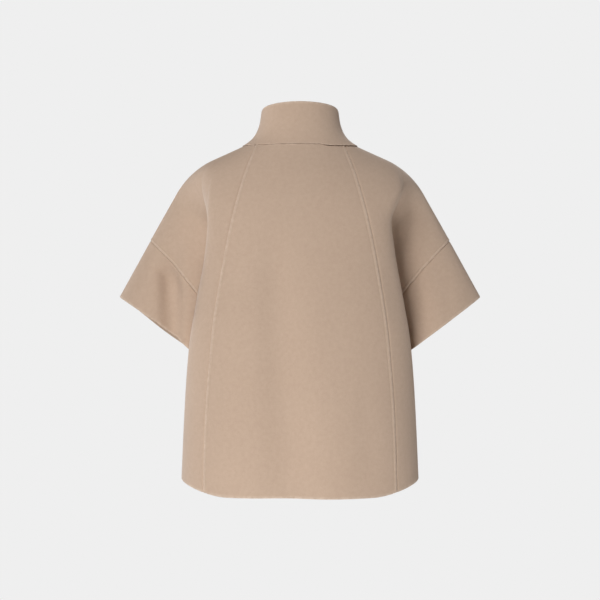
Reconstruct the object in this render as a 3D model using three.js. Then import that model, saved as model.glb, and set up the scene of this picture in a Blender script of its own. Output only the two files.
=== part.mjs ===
// Short cape of double-faced wool: funnel collar, dropped shoulders, wide half sleeves, and two back seams
// that run from the collar to the hem. It keeps the hollow, filled-out form that it has when it is worn.
// Millimetres. +X is the wearer's right, +Y the wearer's front, +Z up.
// The origin is the middle of the neck opening, level with the points where the collar meets the shoulders.

import * as THREE from "three";

// Cloth
const CLOTH = 2.2; // two faces of wool, woven together
const SEAM_GAP = 0.4; // between two panels that are sewn edge to edge
const COLLAR_GAP = 0.6; // between the collar and the neck edge
const LAP = 32; // each front edge goes this far past the middle, right over left
const LAP_EASE = 1; // between the two laid-over fronts
const LAP_RUN = 55; // width over which the right front rises over the left

// Neck edge, where the collar is sewn on
const NECK = { halfWidth: 104.5, back: 75, front: 82, backZ: -2.5, frontZ: -42 };
const NECK_CURVE = { back: 3, front: 2.3 }; // how level the edge stays before it rises to the shoulders

// Overarm line from the neck point to the cuff, as seen from behind
const SHOULDER = { length: 111.5, slope: 24.5 }; // degrees below level
const ARM = { length: 265, slope: 60.7 };
const SHOULDER_ROUND = 155; // radius where the shoulder turns down into the arm
const SLEEVE_LENGTH = 120; // armhole seam to cuff, along the overarm

// Underarm and cuff
const UNDERARM = { z: -292, middleBackZ: -300, middleFrontZ: -300 };
const CUFF_BOTTOM = { x: 198.5, z: -377 };
const ARMHOLE_BOW = 4; // rise of the armhole seam between underarm and overarm
const FORWARD = { armhole: 7, cuff: 14 }; // the overarm swings this far to the front
const UNDERARM_HALF = 20; // half the width of cloth that passes under the arm
const CUFF_BOW = { left: 5, right: 1 }; // rise of the cuff between underarm and overarm
const CUFF_DROP = { left: 14, right: 4 }; // the front of the cuff hangs lower than the back

// Hem
const HEM = { sideZ: -606, backZ: -626, frontZ: -622 };
const HEM_RISE = { from: 0.6, power: 1.6 }; // share across where the hem starts to rise, and how late it does

// Half-width of the body at its widest; above the underarm this is the edge that hides the root of the sleeve
const SIDE_LINE = [
  { z: 0, left: 96, right: 96 },
  { z: -59, left: 150, right: 155 },
  { z: -82, left: 159, right: 177 },
  { z: -105, left: 163, right: 184 },
  { z: -123, left: 164, right: 171 },
  { z: -140, left: 165, right: 164 },
  { z: -190, left: 168.5, right: 168.5 },
  { z: -280, left: 185, right: 185 },
  { z: -369, left: 200, right: 200 },
  { z: -490, left: 210.5, right: 210.5 },
  { z: -614, left: 216, right: 216 },
];

// Depth of the body at the middle of the back and of the front, by the drop below the neck edge
const MIDDLE_LINE = [
  { drop: 0, back: NECK.back, front: NECK.front },
  { drop: 60, back: 107, front: 108 },
  { drop: 110, back: 124, front: 122 },
  { drop: 190, back: 137, front: 132 },
  { drop: 300, back: 144, front: 137 },
  { drop: 430, back: 149, front: 141 },
  { drop: 624, back: 155, front: 146 },
];

// How square the level sections are: 2 is an ellipse, more is boxier
const SQUARENESS = [
  { row: 0, power: 2.0 },
  { row: 0.5, power: 2.35 },
  { row: 1, power: 2.25 },
  { row: 2, power: 2.45 },
];

// Back seam from the collar to the hem, measured from the middle of the back
const BACK_SEAM = [
  { z: 0, x: 79 },
  { z: -62, x: 100 },
  { z: -193, x: 131 },
  { z: -354, x: 156 },
  { z: -524, x: 168 },
  { z: -620, x: 170 },
];

// Soft folds of the body: middle line, half-width and rise (negative is a trough), grown from z top to z full
const BODY_FOLDS = [
  { half: "back", x: -46, width: 44, rise: -6, top: -110, full: -420 },
  { half: "back", x: 70, width: 66, rise: 5, top: -240, full: -560 },
  { half: "front", x: 92, width: 40, rise: -6, top: -170, full: -480 },
  { half: "front", x: -98, width: 44, rise: -7, top: -150, full: -450 },
];
const FOLD_FADE = 6; // how close to the side the folds still show

// Sleeve behind and in front: depth at armhole and cuff, and how flat it is there next to the body (0.5 is an
// ellipse)
const SLEEVE_SHAPE = [
  { half: "back", side: -1, armhole: 20, cuff: 30, armholeFlatness: 0.9, cuffFlatness: 0.8 },
  { half: "back", side: 1, armhole: 20, cuff: 30, armholeFlatness: 1.5, cuffFlatness: 0.55 },
  { half: "front", side: -1, armhole: 54, cuff: 52, armholeFlatness: 1.5, cuffFlatness: 0.85 },
  { half: "front", side: 1, armhole: 54, cuff: 52, armholeFlatness: 1.5, cuffFlatness: 0.85 },
];
const SHOULDER_ROOF = 1.3; // how the cloth falls from the fold to the overarm: 1 is straight, 2 is round

// Soft troughs that hang down the sleeves: places across at the armhole and at the cuff, from underarm (0) to
// overarm (1), half-width and depth
const SLEEVE_FOLDS = [
  { half: "back", side: -1, armhole: 0.66, cuff: 0.34, width: 0.22, rise: -16 },
  { half: "back", side: 1, armhole: 0.35, cuff: 0.25, width: 0.16, rise: -3 },
  { half: "front", side: -1, armhole: 0.6, cuff: 0.4, width: 0.2, rise: -4 },
  { half: "front", side: 1, armhole: 0.65, cuff: 0.4, width: 0.2, rise: -5 },
];
const TROUGH_FULL = 0.3; // share of the sleeve's length over which the troughs grow

// Fold where body and sleeve part: the rows at which it starts, is complete, and is gone from the body's side
const FOLD_START_ROW = 0.28;
const FOLD_FULL_ROW = 0.68;
const FOLD_GONE_ROW = 1.75;
const FOLD_TOP_DEPTH = 60; // depth of the fold's bottom where it starts
const FOLD_DEPTH_CURVE = 1.3; // how it comes forward from there
const BULGE_ROWS = { start: 0.35, full: 1 }; // rows over which the shoulder grows as deep as the sleeve
const TUCK = { in: 14, depth: 39, turn: 65 }; // the body's edge turns in over the sleeve, by these degrees
const TURN_DEPTH = 6; // least depth of that turn
const TURN_SHARE = 0.65; // its share of the way to the overarm where there is no fold yet

// Collar, by the share of its height: half-width and depths of each ring
const COLLAR_RINGS = [
  { share: 0, halfWidth: 104.5, back: 75, front: 82 },
  { share: 0.1, halfWidth: 96, back: 72.5, front: 79.5 },
  { share: 0.22, halfWidth: 88, back: 70, front: 76.5 },
  { share: 0.42, halfWidth: 80, back: 67, front: 73 },
  { share: 0.68, halfWidth: 74.5, back: 64.5, front: 70 },
  { share: 1, halfWidth: 71.5, back: 62, front: 67 },
];
const COLLAR_RISE = { back: 77.5, side: 59, front: 84 };
const COLLAR_LEVEL = { back: 0.58, front: 2 }; // how soon its top edge falls away from the middle
const COLLAR_STEP = 1.4; // the collar's lower edge stands this far out from the body
const COLLAR_STEP_FADE = 6; // how soon the step is gone further up

// Fineness of the walls
const ROW_SPREAD = { middle: 1.15, side: 1.25 }; // over 1, the rows lie closer together near the neck
const COLLAR_SPREAD = 1.3; // and near the collar's lower edge
const ROWS_ABOVE_UNDERARM = 12;
const ROWS_BELOW_UNDERARM = 9;
const SLEEVE_ROWS = 4;
const BACK_COLUMNS = 7; // middle of the back to the back seam
const SIDE_COLUMNS = 6; // back seam to the body's widest line
const FRONT_COLUMNS = 10; // middle of the front to the body's widest line
const TURN_COLUMNS = 3; // widest line to the fold's bottom
const LAP_COLUMNS = 2;
const ARM_COLUMNS = 10; // underarm to overarm
const COLLAR_COLUMNS = 44;
const COLLAR_ROWS = 7;

const WOOL = { color: 0xbfa691, roughness: 0.95, metalness: 0 };

const radians = THREE.MathUtils.degToRad;
const mix = THREE.MathUtils.lerp;
const ease = THREE.MathUtils.smoothstep;
const underarmRow = 1;
const nearby = 0.01; // small step along a curve, to find the way that it runs
const sharpestMitre = 2; // in cloth thicknesses

// A smooth curve through two columns of a table, without overshoot
function through(table, fromColumn, toColumn) {
  const rows = [...table].sort((a, b) => a[fromColumn] - b[fromColumn]);
  const x = rows.map((row) => row[fromColumn]);
  const y = rows.map((row) => row[toColumn]);
  const step = x.slice(1).map((value, i) => (y[i + 1] - y[i]) / (value - x[i]));
  const slope = y.map((_, i) => {
    const before = step[Math.max(i - 1, 0)];
    const after = step[Math.min(i, step.length - 1)];
    return before * after <= 0 ? 0 : (2 * before * after) / (before + after);
  });
  return (at) => {
    const value = THREE.MathUtils.clamp(at, x[0], x[x.length - 1]);
    const i = Math.min(Math.max(x.findIndex((edge) => edge >= value) - 1, 0), step.length - 1);
    const width = x[i + 1] - x[i];
    const t = (value - x[i]) / width;
    const fromStart = (1 + 2 * t) * (1 - t) ** 2 * y[i] + t * (1 - t) ** 2 * width * slope[i];
    const fromEnd = t * t * (3 - 2 * t) * y[i + 1] + t * t * (t - 1) * width * slope[i + 1];
    return fromStart + fromEnd;
  };
}

const sideHalfWidth = {
  left: through(SIDE_LINE, "z", "left"),
  right: through(SIDE_LINE, "z", "right"),
};
const middleDepth = {
  back: through(MIDDLE_LINE, "drop", "back"),
  front: through(MIDDLE_LINE, "drop", "front"),
};
const squareness = through(SQUARENESS, "row", "power");
const backSeamX = through(BACK_SEAM, "z", "x");
const neckMiddleZ = { back: NECK.backZ, front: NECK.frontZ };
const underarmMiddleZ = { back: UNDERARM.middleBackZ, front: UNDERARM.middleFrontZ };
const hemMiddleZ = { back: HEM.backZ, front: HEM.frontZ };
const outwards = { back: -1, front: 1 };

// A round end: 1 at 0, and 0 at 1, where it meets the axis squarely
function dome(t, power) {
  return Math.max(0, 1 - Math.abs(t) ** power) ** (1 / power);
}

// Point of the overarm line, at a distance from the neck point
function overarm(distance) {
  const shoulder = radians(SHOULDER.slope);
  const arm = radians(ARM.slope);
  const turn = arm - shoulder;
  const tangent = SHOULDER_ROUND * Math.tan(turn / 2);
  const straight = SHOULDER.length - tangent;
  const arc = SHOULDER_ROUND * turn;
  const onArc = THREE.MathUtils.clamp(distance - straight, 0, arc) / SHOULDER_ROUND;
  const onShoulder = Math.min(distance, straight);
  const onArm = Math.max(distance - straight - arc, 0);
  const across = SHOULDER_ROUND * (Math.sin(shoulder + onArc) - Math.sin(shoulder));
  const down = SHOULDER_ROUND * (Math.cos(shoulder) - Math.cos(shoulder + onArc));
  return {
    x: NECK.halfWidth + onShoulder * Math.cos(shoulder) + across + onArm * Math.cos(arm),
    z: -(onShoulder * Math.sin(shoulder) + down + onArm * Math.sin(arm)),
  };
}

const overarmLength = (() => {
  const turn = radians(ARM.slope - SHOULDER.slope);
  const tangent = SHOULDER_ROUND * Math.tan(turn / 2);
  return SHOULDER.length + ARM.length - 2 * tangent + SHOULDER_ROUND * turn;
})();
const armholeDistance = overarmLength - SLEEVE_LENGTH;

// What one row of the body is drawn from: row 0 is the neck edge, 1 the underarm and 2 the hem
function bodyRow(half, side, row) {
  const upper = Math.min(row, underarmRow);
  const lower = Math.max(row - underarmRow, 0);
  const upperZ = mix(neckMiddleZ[half], underarmMiddleZ[half], upper ** ROW_SPREAD.middle);
  const middleZ = upperZ + lower * (hemMiddleZ[half] - underarmMiddleZ[half]);
  const sideZ = UNDERARM.z * upper ** ROW_SPREAD.side + lower * (HEM.sideZ - UNDERARM.z);
  const widest = { x: sideHalfWidth[side < 0 ? "left" : "right"](sideZ), z: sideZ };
  const parted = ease(row, FOLD_START_ROW, FOLD_FULL_ROW);
  const tucked = parted * (1 - ease(row, underarmRow, FOLD_GONE_ROW));
  const foldDepth = UNDERARM_HALF + FOLD_TOP_DEPTH * (1 - upper) ** FOLD_DEPTH_CURVE;
  const outer = overarm(armholeDistance * upper);
  const depth = middleDepth[half](neckMiddleZ[half] - middleZ);
  const power = squareness(row);
  const unpartedDepth = depth * dome(widest.x / outer.x, power);
  return {
    half,
    row,
    middleZ,
    widest,
    tuck: TUCK.in * tucked,
    fold: { x: widest.x - TUCK.in * tucked, z: sideZ },
    foldDepth,
    widestDepth: mix(unpartedDepth, foldDepth + TURN_DEPTH + TUCK.depth * tucked, parted),
    outer,
    depth,
    power,
    parted,
    grown: ease(row, BULGE_ROWS.start, BULGE_ROWS.full),
  };
}

function bodyFold(half, x, z, across) {
  const folds = BODY_FOLDS.filter((fold) => fold.half === half);
  const rises = folds.map((fold) => {
    const grown = ease(-z, -fold.top, -fold.full);
    return fold.rise * grown * Math.exp(-(((x - fold.x) / fold.width) ** 2));
  });
  const goneAtSide = 1 - Math.min(Math.abs(across), 1) ** FOLD_FADE;
  return rises.reduce((sum, rise) => sum + rise, 0) * goneAtSide;
}

// The row drawn as one dome from the middle to the overarm, as it lies over the shoulder
function onShoulderDome(r, x) {
  const across = x / r.outer.x;
  return {
    x,
    z: r.middleZ + (r.outer.z - r.middleZ) * Math.abs(across) ** NECK_CURVE[r.half],
    depth: r.depth * dome(across, r.power),
  };
}

function blend(single, parted, share) {
  return {
    x: mix(single.x, parted.x, share),
    z: mix(single.z, parted.z, share),
    depth: mix(single.depth, parted.depth, share),
  };
}

// Half-width at which the fold's bottom will lie, on a row that has no fold yet
function unpartedFoldX(r) {
  return mix(r.widest.x, r.outer.x, TURN_SHARE);
}

// The row where body and sleeve are parted: the body's dome, then its edge as it turns in over the sleeve
function onPartedBody(r, across) {
  const hemRise = Math.max((Math.abs(across) - HEM_RISE.from) / (1 - HEM_RISE.from), 0) ** HEM_RISE.power;
  const rise = mix(across * across, hemRise, Math.max(r.row - underarmRow, 0));
  if (across <= 1) {
    return {
      x: r.widest.x * across,
      z: mix(r.middleZ, r.widest.z, rise),
      depth: r.widestDepth + (r.depth - r.widestDepth) * dome(across, r.power),
    };
  }
  const end = radians(TUCK.turn);
  const turn = (across - 1) * end;
  const inwards = (1 - Math.cos(turn)) / (1 - Math.cos(end));
  return {
    x: r.widest.x - r.tuck * inwards,
    z: r.widest.z,
    depth: mix(r.widestDepth, r.foldDepth, Math.sin(turn) / Math.sin(end)),
  };
}

// Point of the body: across is 0 at the middle, 1 at the widest line and 2 at the bottom of the fold
function bodyPoint(half, side, row, across) {
  const r = bodyRow(half, side, row);
  const x = across <= 1 ? r.widest.x * across : mix(r.widest.x, unpartedFoldX(r), across - 1);
  const at = blend(onShoulderDome(r, x), onPartedBody(r, across), r.parted);
  const depth = at.depth + bodyFold(half, side * at.x, at.z, across);
  return new THREE.Vector3(side * at.x, outwards[half] * depth, at.z);
}

// Cross-section of the sleeve: along is 0 at the armhole and 1 at the cuff, across 0 at the underarm and 1 at
// the overarm
function sleeveSection(half, side, along, across, foldDepth, grown) {
  const isHere = (row) => row.half === half && row.side === side;
  const shape = SLEEVE_SHAPE.find(isHere);
  const flatness = mix(shape.armholeFlatness, shape.cuffFlatness, along);
  const profile = (share) => share ** flatness * (1 - share) ** 0.5;
  const round = profile(across) / profile(flatness / (flatness + 0.5));
  const rises = SLEEVE_FOLDS.filter(isHere).map((fold) => {
    const aside = across - mix(fold.armhole, fold.cuff, along);
    return fold.rise * Math.exp(-((aside / fold.width) ** 2));
  });
  const rise = rises.reduce((sum, value) => sum + value, 0) * ease(along, 0, TROUGH_FULL);
  const depth = mix(shape.armhole, shape.cuff, along) + rise;
  return foldDepth * dome(across, SHOULDER_ROOF) + depth * round * grown;
}

function betweenLines(inner, outer, across, bow) {
  const length = Math.hypot(outer.x - inner.x, outer.z - inner.z);
  const lift = (4 * across * (1 - across) * bow) / length;
  return {
    x: mix(inner.x, outer.x, across) - lift * (outer.z - inner.z),
    z: mix(inner.z, outer.z, across) + lift * (outer.x - inner.x),
  };
}

// Point of the shoulder's outer part: across is 0 at the fold and 1 at the overarm, row 1 is the armhole seam
function shoulderPoint(half, side, row, across) {
  const r = bodyRow(half, side, row);
  const line = betweenLines(r.fold, r.outer, across, ARMHOLE_BOW * r.parted);
  const depth = sleeveSection(half, side, 0, across, r.foldDepth, r.grown);
  const parted = { ...line, depth };
  const at = blend(onShoulderDome(r, mix(unpartedFoldX(r), r.outer.x, across)), parted, r.parted);
  const forward = FORWARD.armhole * r.parted * across;
  return new THREE.Vector3(side * at.x, outwards[half] * at.depth + forward, at.z);
}

// Point of the sleeve: along is 0 at the armhole seam and 1 at the cuff
function sleevePoint(half, side, along, across) {
  const hand = side < 0 ? "left" : "right";
  const armhole = bodyRow(half, side, underarmRow);
  const cuff = overarm(overarmLength);
  const between = (from, to) => ({ x: mix(from.x, to.x, along), z: mix(from.z, to.z, along) });
  const inner = between(armhole.fold, CUFF_BOTTOM);
  const outer = between(armhole.outer, cuff);
  const at = betweenLines(inner, outer, across, mix(ARMHOLE_BOW, CUFF_BOW[hand], along));
  const depth = sleeveSection(half, side, along, across, UNDERARM_HALF, 1);
  const forward = across * mix(FORWARD.armhole, FORWARD.cuff, along);
  const drop = half === "front" ? CUFF_DROP[hand] : 0;
  const hang = drop * along * 4 * across * (1 - across);
  return new THREE.Vector3(side * at.x, outwards[half] * depth + forward, at.z - hang);
}

// Way along the arm, square to the armhole seam at a share across
function armholeAxis(side, across) {
  const { fold: inner, outer } = bodyRow("back", side, underarmRow);
  const from = betweenLines(inner, outer, across - nearby, ARMHOLE_BOW);
  const to = betweenLines(inner, outer, across + nearby, ARMHOLE_BOW);
  return new THREE.Vector3(side * (from.z - to.z), 0, to.x - from.x).normalize().negate();
}

function squareTo(axis, normal) {
  const length = normal.length();
  return normal.addScaledVector(axis, -normal.dot(axis)).setLength(length);
}

// Share across the body, 0 to 1, at which the back seam crosses a row
function backSeamAcross(side, row) {
  let across = 0.8; // a first guess, which each turn brings closer
  for (let turns = 0; turns < 12; turns += 1) {
    const at = bodyPoint("back", side, row, across);
    across *= backSeamX(at.z) / Math.abs(at.x);
  }
  return across;
}

const rowsOfBody = [
  ...Array.from({ length: ROWS_ABOVE_UNDERARM + 1 }, (_, i) => i / ROWS_ABOVE_UNDERARM),
  ...Array.from({ length: ROWS_BELOW_UNDERARM }, (_, i) => underarmRow + (i + 1) / ROWS_BELOW_UNDERARM),
];
const shares = (count) => Array.from({ length: count + 1 }, (_, i) => i / count);

// Shares across that crowd towards the side, where the section turns
function crowded(from, to, count) {
  const start = Math.asin(from);
  const end = Math.asin(to);
  return shares(count).map((share) => Math.sin(mix(start, end, share)));
}

const turn = shares(TURN_COLUMNS).slice(1).map((share) => 1 + share);

// Shares across a sleeve, which crowd towards the overarm
const armShares = shares(ARM_COLUMNS).map((share) => Math.sin((Math.PI / 2) * share));

// Normals of a grid of points, from the neighbours of each; wrapped grids close on themselves across
function gridNormals(points, wrapped = false) {
  const last = points.length - 1;
  return points.map((line, i) =>
    line.map((_, j) => {
      const end = line.length - 1;
      const before = wrapped ? (j + end) % (end + 1) : Math.max(j - 1, 0);
      const after = wrapped ? (j + 1) % (end + 1) : Math.min(j + 1, end);
      const alongRow = line[after].clone().sub(line[before]);
      const alongColumn = points[Math.min(i + 1, last)][j].clone().sub(points[Math.max(i - 1, 0)][j]);
      return alongRow.cross(alongColumn).normalize();
    }),
  );
}

// One side's half of the body as two grids that share the fold line: the body, and the shoulder above it
function halfGrids(half, side, acrossOfRow) {
  const flip = side * outwards[half] > 0 ? 1 : -1;
  const body = rowsOfBody.map((row) => acrossOfRow(row).map((across) => bodyPoint(half, side, row, across)));
  const upperRows = rowsOfBody.filter((row) => row <= underarmRow);
  const shoulder = upperRows.map((row) => armShares.map((across) => shoulderPoint(half, side, row, across)));
  const sleeveRow = armShares.map((across) => sleevePoint(half, side, 1 / SLEEVE_ROWS, across));
  const turned = (grid) => grid.map((line) => line.map((normal) => normal.multiplyScalar(flip)));
  const bodyNormals = turned(gridNormals(body));
  const shoulderNormals = turned(gridNormals([...shoulder, sleeveRow]));
  settleEdgeNormals(body, bodyNormals, shoulder, shoulderNormals, side);
  shoulderNormals[ROWS_ABOVE_UNDERARM].forEach((normal, k) => {
    squareTo(armholeAxis(side, armShares[k]), normal);
  });
  return { body, bodyNormals, shoulder, shoulderNormals };
}

// At the overarm and the side seam the wall stands square to the seam; in the fold its inner side is mitred
function settleEdgeNormals(body, bodyNormals, shoulder, shoulderNormals, side) {
  const overarmColumn = armShares.length - 1;
  shoulder.forEach((line, i) => {
    const before = shoulder[Math.max(i - 1, 0)][overarmColumn];
    const after = shoulder[Math.min(i + 1, shoulder.length - 1)][overarmColumn];
    const along = after.clone().sub(before);
    shoulderNormals[i][overarmColumn].set(-along.z * side, 0, Math.abs(along.x)).normalize();
  });
  body.forEach((line, i) => {
    const end = line.length - 1;
    if (i < shoulder.length) {
      const ofBody = bodyNormals[i][end].clone();
      const ofShoulder = shoulderNormals[i][0].clone();
      const shared = ofBody.clone().add(ofShoulder).normalize();
      const mitre = Math.min(1 / shared.dot(ofBody), sharpestMitre);
      bodyNormals[i][end].copy(shared).multiplyScalar(mitre);
      shoulderNormals[i][0].copy(bodyNormals[i][end]);
    } else {
      bodyNormals[i][end].setY(0).normalize();
    }
  });
}

// The narrow stretch from the last body column to the side seam, below the underarm
function sideStrip(half, side, grids) {
  const first = ROWS_ABOVE_UNDERARM;
  const below = grids.body.slice(first);
  const points = below.map((line) => {
    const edge = line[line.length - 1];
    return [edge, new THREE.Vector3(edge.x, (outwards[half] * SEAM_GAP) / 2, edge.z)];
  });
  const sideways = new THREE.Vector3(side, 0, 0);
  const normals = grids.bodyNormals.slice(first).map((line) => [line[line.length - 1], sideways]);
  return { points, normals };
}

const columns = (grid, from, to) => grid.map((line) => line.slice(from, to));

// The patches as one sheet of triangles, with the points that they share joined
function joinPatches(patches, flipped) {
  const sheet = { points: [], normals: [], faces: [] };
  const found = new Map();
  const indexOf = (point, normal) => {
    const key = point.toArray().map((value) => value.toFixed(4)).join(" ");
    if (!found.has(key)) {
      found.set(key, sheet.points.length);
      sheet.points.push(point);
      sheet.normals.push(normal);
    }
    return found.get(key);
  };
  patches.forEach(({ points, normals }) => {
    const index = points.map((line, i) => line.map((point, j) => indexOf(point, normals[i][j])));
    index.slice(1).forEach((below, i) =>
      below.slice(1).forEach((c, j) => {
        const [a, b, d] = [index[i][j], index[i][j + 1], below[j]];
        sheet.faces.push(...(flipped ? [[a, b, c], [a, c, d]] : [[a, c, b], [a, d, c]]));
      }),
    );
  });
  return sheet;
}

// Edges of a sheet that only one of its triangles has
function rimOf(faces) {
  const edges = new Map();
  faces.forEach((face) =>
    face.forEach((start, k) => {
      const end = face[(k + 1) % face.length];
      edges.set(`${start} ${end}`, [start, end]);
    }),
  );
  return [...edges.values()].filter(([start, end]) => !edges.has(`${end} ${start}`));
}

// A closed wall: the patches are its outer face, and its inner face lies one cloth thickness behind
function wall(patches, flipped) {
  const { points, normals, faces } = joinPatches(patches, flipped);
  const inner = points.map((point, i) => point.clone().addScaledVector(normals[i], -CLOTH));
  const behind = points.length;
  const outerAndInner = faces.flatMap(([a, b, c]) => [[a, b, c], [a + behind, c + behind, b + behind]]);
  const rim = rimOf(faces).flatMap(([start, end]) => [
    [end, start, start + behind],
    [end, start + behind, end + behind],
  ]);
  const geometry = new THREE.BufferGeometry();
  const positions = [...points, ...inner].flatMap((point) => point.toArray());
  geometry.setAttribute("position", new THREE.Float32BufferAttribute(positions, 3));
  geometry.setIndex([...outerAndInner, ...rim].flat());
  geometry.computeVertexNormals();
  return geometry;
}

function cloth(name, geometry) {
  const mesh = new THREE.Mesh(geometry, new THREE.MeshStandardMaterial(WOOL));
  mesh.name = name;
  return mesh;
}

// The points of a patch, with its first or last column moved back from the seam there, square to the seam
function backFromSeam(points, normals, seams) {
  const last = points.length - 1;
  return points.map((line, i) => {
    const moved = [...line];
    seams.forEach((seam) => {
      const j = seam === "first" ? 0 : line.length - 1;
      const inside = line[seam === "first" ? 1 : j - 1];
      const along = points[Math.min(i + 1, last)][j].clone().sub(points[Math.max(i - 1, 0)][j]);
      const across = along.cross(normals[i][j]).normalize();
      const way = Math.sign(across.dot(inside.clone().sub(line[j])));
      moved[j] = line[j].clone().addScaledVector(across, (way * SEAM_GAP) / 2);
    });
    return moved;
  });
}

const isFlipped = (half, side) => side * outwards[half] > 0;

// Shares across a row of the back: middle to the back seam, then on to the side
function backShares(side) {
  return (row) => {
    const seam = backSeamAcross(side, row);
    const middle = shares(BACK_COLUMNS).map((share) => share * seam);
    return [...middle, ...crowded(seam, 1, SIDE_COLUMNS).slice(1), ...turn];
  };
}

const backGrids = { left: halfGrids("back", -1, backShares(-1)), right: halfGrids("back", 1, backShares(1)) };

// Middle panel of the back, between the two back seams
function backPanel() {
  const leftHalf = backGrids.left.body.map((line) => line.slice(1, BACK_COLUMNS + 1).reverse());
  const rightHalf = columns(backGrids.right.body, 0, BACK_COLUMNS + 1);
  const points = leftHalf.map((line, i) => [...line, ...rightHalf[i]]);
  const normals = gridNormals(points).map((line) => line.map((normal) => normal.negate()));
  points.forEach((line, i) => {
    const end = line.length - 1;
    normals[i][0] = backGrids.left.bodyNormals[i][BACK_COLUMNS];
    normals[i][end] = backGrids.right.bodyNormals[i][BACK_COLUMNS];
  });
  const patch = { points: backFromSeam(points, normals, ["first", "last"]), normals };
  return cloth("back_panel", wall([patch], isFlipped("back", 1)));
}

// Panel from the back seam over the shoulder blade to the shoulder seam, the armhole and the side seam
function sideBack(name, side, grids) {
  const normals = columns(grids.bodyNormals, BACK_COLUMNS);
  const body = { points: backFromSeam(columns(grids.body, BACK_COLUMNS), normals, ["first"]), normals };
  return cloth(name, wall([body, ...sideAndShoulder("back", side, grids)], isFlipped("back", side)));
}

function sideAndShoulder(half, side, grids) {
  const normals = grids.shoulderNormals;
  const shoulder = { points: backFromSeam(grids.shoulder, normals, ["last"]), normals };
  return [shoulder, sideStrip(half, side, grids)];
}

// Front, from its lapped edge at the middle to the shoulder seam, the armhole and the side seam
function front(name, side) {
  const acrossOfRow = (row) => {
    const edge = -LAP / bodyRow("front", side, row).widest.x;
    const lap = shares(LAP_COLUMNS).map((share) => edge * (1 - share));
    return [...lap, ...crowded(0, 1, FRONT_COLUMNS).slice(1), ...turn];
  };
  const grids = halfGrids("front", side, acrossOfRow);
  if (side > 0) liftOverLap(grids.body, grids.bodyNormals);
  const body = { points: grids.body, normals: grids.bodyNormals };
  return cloth(name, wall([body, ...sideAndShoulder("front", side, grids)], isFlipped("front", side)));
}

// Moves the points of the right front, or the collar's right end, out so that they lie over the left
function liftOverLap(points, normals, fromColumn = 0) {
  points.forEach((line, i) =>
    line.slice(fromColumn).forEach((point, j) => {
      const rise = (CLOTH + LAP_EASE) * (1 - ease(point.x, LAP, LAP + LAP_RUN));
      point.addScaledVector(normals[i][j + fromColumn], rise);
    }),
  );
}

// Sleeve from the armhole seam to the cuff, a tube with its seam under the arm
function sleeve(name, side) {
  const around = [
    ...armShares.map((across) => ({ half: "back", across })),
    ...armShares.slice(0, -1).reverse().map((across) => ({ half: "front", across })),
  ];
  const points = shares(SLEEVE_ROWS).map((along) =>
    around.map(({ half, across }) => sleevePoint(half, side, along, across)),
  );
  const rowAbove = rowsOfBody[ROWS_ABOVE_UNDERARM - 1];
  const above = around.map(({ half, across }) => shoulderPoint(half, side, rowAbove, across));
  const normals = gridNormals([above, ...points], true).slice(1);
  normals.forEach((line) => line.forEach((normal) => normal.multiplyScalar(-side)));
  points[0].forEach((point, j) => {
    const axis = armholeAxis(side, around[j].across);
    squareTo(axis, normals[0][j]);
    point.addScaledVector(axis, SEAM_GAP);
  });
  const closed = (grid) => grid.map((line) => [...line, line[0]]);
  return cloth(name, wall([{ points: closed(points), normals: closed(normals) }], isFlipped("back", side)));
}

// Neck edge of the body at an angle from the middle of the back, with the ways up and out of it
function neckEdge(angle) {
  const half = Math.cos(angle) > 0 ? "back" : "front";
  const at = (row, turn) => {
    const r = bodyRow(half, Math.sign(Math.sin(turn)), row);
    const onRow = onShoulderDome(r, r.outer.x * Math.sin(turn));
    return new THREE.Vector3(onRow.x, outwards[half] * onRow.depth, onRow.z);
  };
  const point = at(0, angle);
  const up = point.clone().sub(at(rowsOfBody[1], angle)).normalize();
  const round = at(0, angle + nearby).sub(at(0, angle - nearby));
  return { point, up, out: round.cross(up).normalize() };
}

// One point of the collar above its lower edge: height is the share of the full height
function collarPoint(rings, angle, height) {
  const half = Math.cos(angle) > 0 ? "back" : "front";
  const facing = Math.abs(Math.cos(angle));
  const baseZ = neckMiddleZ[half] * (1 - Math.abs(Math.sin(angle)) ** NECK_CURVE[half]);
  const rise = mix(COLLAR_RISE.side, COLLAR_RISE[half], facing ** COLLAR_LEVEL[half]);
  const y = outwards[half] * rings[half](height) * facing;
  return new THREE.Vector3(rings.halfWidth(height) * Math.sin(angle), y, baseZ + rise * height);
}

// Funnel collar: one strip round the neck, its right end laid over its left
function collar() {
  const rings = Object.fromEntries(
    ["halfWidth", "back", "front"].map((column) => [column, through(COLLAR_RINGS, "share", column)]),
  );
  const overlap = Math.asin(LAP / COLLAR_RINGS[COLLAR_RINGS.length - 1].halfWidth);
  const angles = shares(COLLAR_COLUMNS).map((share) => mix(-Math.PI - overlap, Math.PI + overlap, share));
  const edge = angles.map(neckEdge);
  const heights = shares(COLLAR_ROWS).map((share) => share ** COLLAR_SPREAD);
  const points = heights.map((height, i) =>
    angles.map((angle, j) => {
      const { point, up, out } = edge[j];
      const start = point.clone().addScaledVector(up, COLLAR_GAP);
      const at = i === 0 ? start : collarPoint(rings, angle, height);
      return at.addScaledVector(out, COLLAR_STEP * (1 - height) ** COLLAR_STEP_FADE);
    }),
  );
  const normals = gridNormals(points);
  normals[0] = edge.map(({ out }) => out);
  liftOverLap(points, normals, angles.findIndex((angle) => angle > Math.PI / 2));
  return cloth("collar", wall([{ points, normals }], true));
}

const cape = new THREE.Group();
cape.name = "wool_cape";
cape.add(
  backPanel(),
  sideBack("side_back_left", -1, backGrids.left),
  sideBack("side_back_right", 1, backGrids.right),
  front("front_left", -1),
  front("front_right", 1),
  sleeve("sleeve_left", -1),
  sleeve("sleeve_right", 1),
  collar(),
);

export default cape;
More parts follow.
